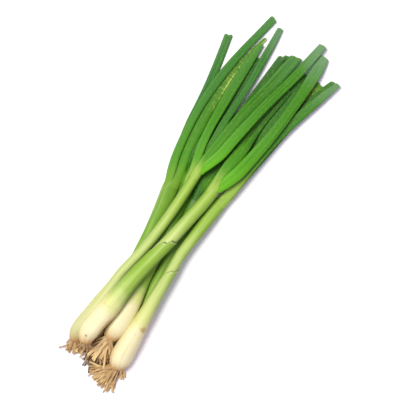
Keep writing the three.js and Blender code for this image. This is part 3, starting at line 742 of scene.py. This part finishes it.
# The roots
# Stringy roots, dry and golden, broken off short. They come out all round the flat base of a bulb
# and sag to the surface in a thick brush. Those of the hidden bulb still hold a little dark soil.
#
# Each tuft is made of groups: how many roots, the fan of their directions in degrees from straight
# out (plus to the right), how far they reach, how pale and how soiled they are. "side" is where on
# the base a group starts, "stout" how much thicker it is, and "raised" how high it is held up.
TUFTS = {
    "onion_1": [
        {"count": 60, "fan": (-24, 34), "reach": (0.006, 0.0135), "light": 0.45, "soil": 0.05},
        {"count": 1, "fan": (-58, -58), "reach": (0.016, 0.016), "light": 0.30, "soil": 0.10},
    ],
    "onion_2": [{"count": 60, "fan": (-30, 36), "reach": (0.006, 0.0145), "light": 0.40, "soil": 0.05}],
    "onion_3": [
        {
            "count": 15, "fan": (-46, -16), "reach": (0.020, 0.026), "light": 1.00, "soil": 0.0,
            "stout": 1.25, "raised": 0.003,
        },
        {
            "count": 14, "fan": (-24, 0), "reach": (0.017, 0.025), "light": 0.85, "soil": 0.0,
            "stout": 1.25, "raised": 0.003,
        },
        {
            "count": 16, "fan": (-8, 26), "reach": (0.009, 0.020), "light": 0.35, "soil": 0.0,
            "stout": 1.25, "raised": 0.003,
        },
    ],
    "onion_4": [
        {"count": 92, "fan": (-84, 2), "reach": (0.015, 0.0235), "light": 0.60, "soil": 0.0},
        {"count": 20, "fan": (2, 30), "reach": (0.006, 0.0115), "light": 0.60, "soil": 0.05, "side": 0.85},
    ],
    "onion_5": [
        {"count": 96, "fan": (-14, 40), "reach": (0.018, 0.031), "light": 0.35, "soil": 0.80},
        {"count": 40, "fan": (20, 58), "reach": (0.020, 0.029), "light": 0.25, "soil": 0.30},
    ],
    "onion_6": [{"count": 14, "fan": (-35, 35), "reach": (0.004, 0.008), "light": 0.30, "soil": 0.20}],
}
ROOT_TURNS = 7
ROOT_STEPS = 22
ROOT_THICKNESS = (0.00060, 0.00105)
ROOT_CLEARANCE = 0.00005
TUFT_HEIGHT = 0.0065
PLATE_SHARE = 0.80
PLATE_INSET = 0.0010
PLATE_DOME = 0.0045

# Root fibre: tan to straw, with darker threads along it and clods of soil where it is dirty.
string = Sheet("onion_root", 0.75, 0.3, 0.1)
fibres = string.noise((220, 2500, 2500), 3.0)
clods = string.noise((450, 450, 450), 2.0)
colour = string.mix(string.read("light"), tone(160, 116, 60), tone(234, 208, 150))
colour = string.mix(string.ramp(fibres, 0.50, 0.85) * 0.3, colour, tone(150, 112, 60))
soiled = string.ramp(string.read("soil") * (0.4 + clods * 1.2), 0.45, 0.8)
root_material = string.feed(
    Base_Color=string.mix(soiled, colour, tone(80, 60, 38)),
    Roughness=0.6 + 0.3 * fibres,
    Normal=string.bump(fibres + clods, 0.0002),
)


def strand_line(start, ahead, rightward, turn, long, curl, bend, hang, rest, low, k):
    """Points along one root, which leaves the bulb, bends, and sags from where it hangs to its rest."""
    line = []
    for i in range(ROOT_STEPS + 1):
        s = i / ROOT_STEPS
        heading = turn * min(1, 0.45 + s * 1.4) + curl * s + bend * math.sin(s * 5 + k)
        way = -ahead * math.cos(heading) + rightward * math.sin(heading)
        fall = min(1, s / 0.85)
        z = hang + (rest - hang) * fall * fall * (3 - 2 * fall) + 0.0005 * math.sin(s * 9 + k)
        line.append([start[0], start[1], max(z, low)])
        start = start + way * long / ROOT_STEPS
    return np.array(line)


def strand_rings(line, radius, angle):
    """The rings of points round one root, kept above the surface."""
    way = np.gradient(line, axis=0)
    way /= np.linalg.norm(way, axis=1)[:, None]
    across = np.cross(way, [0, 0, 1])
    across /= np.linalg.norm(across, axis=1)[:, None] + 1e-9
    above = np.cross(across, way)
    spokes = np.cos(angle)[None, :, None] * across[:, None] + np.sin(angle)[None, :, None] * above[:, None]
    points = line[:, None] + radius[:, None, None] * spokes
    points[..., 2] = np.maximum(points[..., 2], ROOT_CLEARANCE)
    return points.reshape(-1, 3).tolist()


def strand_faces(start):
    """The faces of one root whose points begin at a number, with its two ends closed."""
    last = start + ROOT_STEPS * ROOT_TURNS
    faces = [tuple(range(start, start + ROOT_TURNS))[::-1], tuple(range(last, last + ROOT_TURNS))]
    for ring in range(start, last, ROOT_TURNS):
        for j in range(ROOT_TURNS):
            a, b = ring + j, ring + (j + 1) % ROOT_TURNS
            faces.append((a, b, b + ROOT_TURNS, a + ROOT_TURNS))
    return faces


s = np.linspace(0, 1, ROOT_STEPS + 1)
angle = np.linspace(0, 2 * math.pi, ROOT_TURNS, endpoint=False)
for number, (onion, groups) in enumerate(TUFTS.items()):
    rng = np.random.default_rng(number + 71)
    stalk = stalk_paths[onion]
    along = stalk.along[1]
    begin = stalk.centre[0] + along * STALKS[onion].get("foot", 0.0)
    ahead = np.array([along[0], along[1]]) / math.hypot(along[0], along[1])
    rightward = np.array([ahead[1], -ahead[0]])
    base = stalk.half[3] * PLATE_SHARE
    strands = []
    for group in groups:
        for k in range(group["count"]):
            strands.append((group, (k + rng.random()) / group["count"]))
    points, faces, lights, soils, grains = [], [], [], [], []
    for k, (group, share) in enumerate(strands):
        turn = math.radians(group["fan"][0] + (group["fan"][1] - group["fan"][0]) * share)
        long = rng.uniform(*group["reach"]) * (1.18 if rng.random() < 0.06 else 1)
        thick = rng.uniform(*ROOT_THICKNESS) * group.get("stout", 1.0)
        height = rng.uniform(-0.8, 0.75)
        seat = group.get("side", 0.75 * math.sin(turn)) + rng.normal(0, 0.12 if "side" in group else 0.35)
        side = base * np.clip(seat, -0.98, 0.98) * math.sqrt(1 - height**2)
        curl, bend = rng.normal(0, 0.26), rng.normal(0, 0.24)
        rest = thick + rng.random() * TUFT_HEIGHT * 0.5 + group.get("raised", 0.0)
        start = begin[:2] + rightward * side + ahead * (PLATE_INSET + PLATE_DOME * (side / base) ** 2)
        hang = begin[2] + height * base * 0.85
        line = strand_line(start, ahead, rightward, turn, long, curl, bend, hang, rest, thick * 1.05, k)
        radius = thick * (1 - 0.22 * s**2) * (1 + 0.10 * np.sin(s * 17 + k))
        faces.extend(strand_faces(len(points)))
        points.extend(strand_rings(line, radius, angle))
        for i in range(ROOT_STEPS + 1):
            grains.extend([[s[i] * long, a, k] for a in np.sin(angle) * radius[i]])
        shade = np.clip(group["light"] + rng.normal(0, 0.20), 0, 1)
        lights.extend(np.repeat(shade * (0.70 + 0.30 * s), ROOT_TURNS))
        soils.extend(np.repeat(group["soil"] * s**1.5, ROOT_TURNS))
    values = {"light": np.array(lights), "soil": np.array(soils), "grain": np.array(grains)}
    name, node = f"{onion}_root_tuft", f"{onion}_roots"
    made_mesh(name, np.array(points), faces, node, root_material, values)

# The surface, the light and the view
# A plain white board under a soft lamp high at the upper left, seen from straight above so that the
# roots are at the lower left and the leaf ends at the upper right.
BOARD_HALF = 3.0
PICTURE_SIDE = 0.360
VIEW_HEIGHT = 2.6
VIEW_DEPTH = 0.008
VIEW_MIDDLE = (0.00769, -0.00887)
VIEW_TURN = 56
SENSOR = 36
LAMP_HEIGHT = 2.4
LAMP_LEAN = 0.39
LAMP_SIZE = 0.90
LAMP_POWER = 62
SKY_STRENGTH = 0.60

floor_mesh = bpy.data.meshes.new("board")
corners = [(BOARD_HALF * x, BOARD_HALF * y, 0) for x, y in ((-1, -1), (1, -1), (1, 1), (-1, 1))]
floor_mesh.from_pydata(corners, [], [(0, 1, 2, 3)])
board = bpy.data.objects.new("board", floor_mesh)
bpy.context.scene.collection.objects.link(board)
board_sheet = Sheet("board_white", 0.9)
board_place = board_sheet.node("ShaderNodeTexCoord", output="Object")
mottle = board_sheet.node("ShaderNodeTexNoise", values={"Vector": board_place, "Scale": 8.0})
board.data.materials.append(board_sheet.feed(
    Base_Color=board_sheet.mix(mottle * 0.02, tone(254, 254, 250), tone(250, 250, 248)),
))

world = bpy.data.worlds.new("studio")
bpy.context.scene.world = world
world.use_nodes = True
sky = world.node_tree.nodes["Background"]
sky.inputs["Color"].default_value = (0.80, 0.73, 1.0, 1.0)
sky.inputs["Strength"].default_value = SKY_STRENGTH

turned = math.radians(VIEW_TURN)
picture_right = np.array([math.cos(turned), -math.sin(turned)])
picture_up = np.array([math.sin(turned), math.cos(turned)])
lamp_way = (-0.76 * picture_right + 0.65 * picture_up) * LAMP_HEIGHT * LAMP_LEAN
lamp_data = bpy.data.lights.new("soft_lamp", "AREA")
lamp_data.shape = "SQUARE"
lamp_data.size = LAMP_SIZE
lamp_data.energy = LAMP_POWER
lamp_data.color = (1.0, 0.985, 0.94)
lamp = bpy.data.objects.new("soft_lamp", lamp_data)
lamp.location = (lamp_way[0], lamp_way[1], LAMP_HEIGHT)
lamp.rotation_euler = (-lamp.location).to_track_quat("-Z", "Y").to_euler()
bpy.context.scene.collection.objects.link(lamp)

camera_data = bpy.data.cameras.new("camera")
camera_data.sensor_width = SENSOR
camera_data.lens = SENSOR * (VIEW_HEIGHT - VIEW_DEPTH) / PICTURE_SIDE
camera_data.clip_end = 20
camera = bpy.data.objects.new("camera", camera_data)
camera.location = (*VIEW_MIDDLE, VIEW_HEIGHT)
camera.rotation_euler = (0, 0, -turned)
bpy.context.scene.collection.objects.link(camera)
bpy.context.scene.camera = camera
bpy.context.scene.view_settings.view_transform = "Standard"
